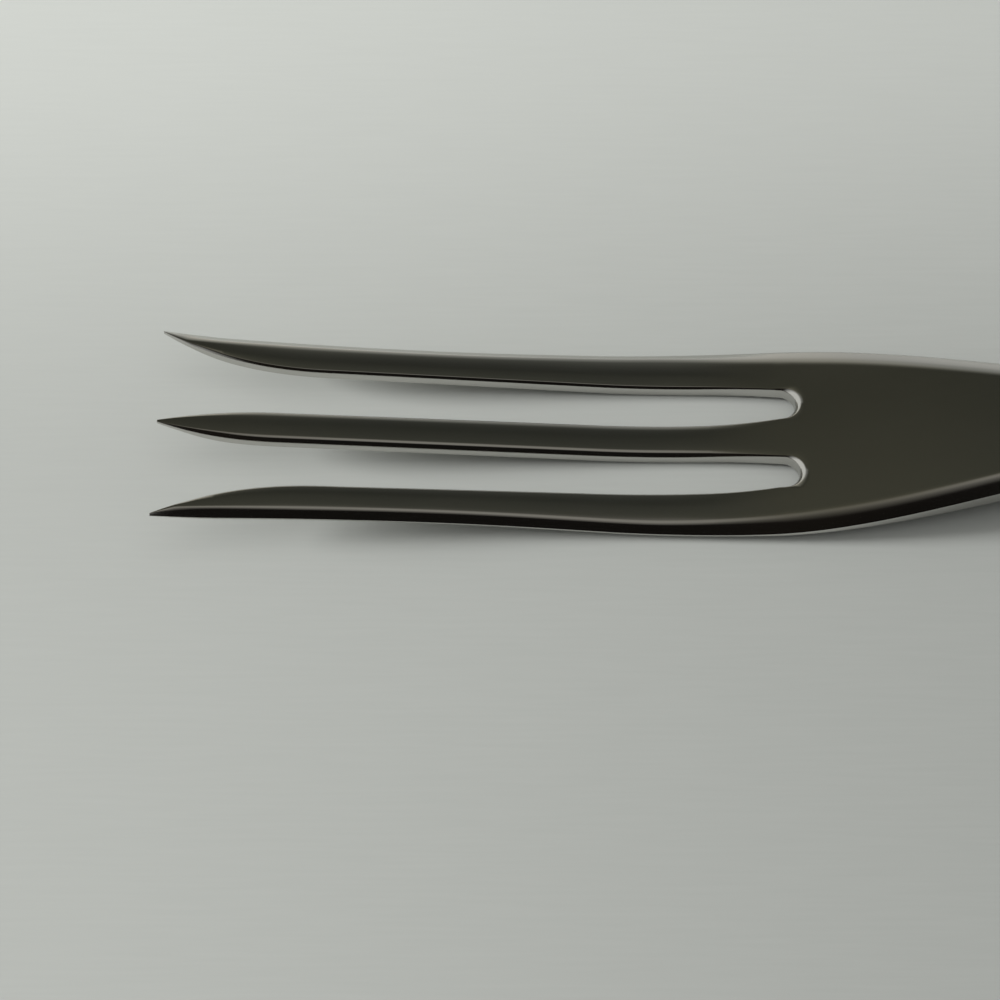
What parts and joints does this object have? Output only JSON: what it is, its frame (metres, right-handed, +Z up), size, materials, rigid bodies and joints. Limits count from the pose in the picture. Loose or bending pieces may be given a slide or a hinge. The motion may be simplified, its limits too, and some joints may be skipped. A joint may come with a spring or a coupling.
{
  "type": "turning fork",
  "caption": "Long-tined steel turning fork with a tapering neck and a full tang between riveted wooden handle scales, for turning and lifting food.",
  "frame": {"origin": "centre of the bounding box on the surface that the fork lies on", "axes": "+X along the fork from the points to the butt, +Z up, away from the surface it lies on"},
  "size_m": [0.2904, 0.03, 0.016],
  "materials": {
    "steel": "polished stainless steel with faint lengthwise polishing lines",
    "wood": "oiled walnut, satin",
    "brass": "brass ground flush with the wood"
  },
  "bodies": {
    "root": {"fork_forging": "steel", "upper_scale": "wood", "lower_scale": "wood", "rivet_post_front": "brass", "rivet_post_middle": "brass", "rivet_post_rear": "brass", "rivet_sleeve_front": "brass", "rivet_sleeve_middle": "brass", "rivet_sleeve_rear": "brass"}
  },
  "joints": []
}
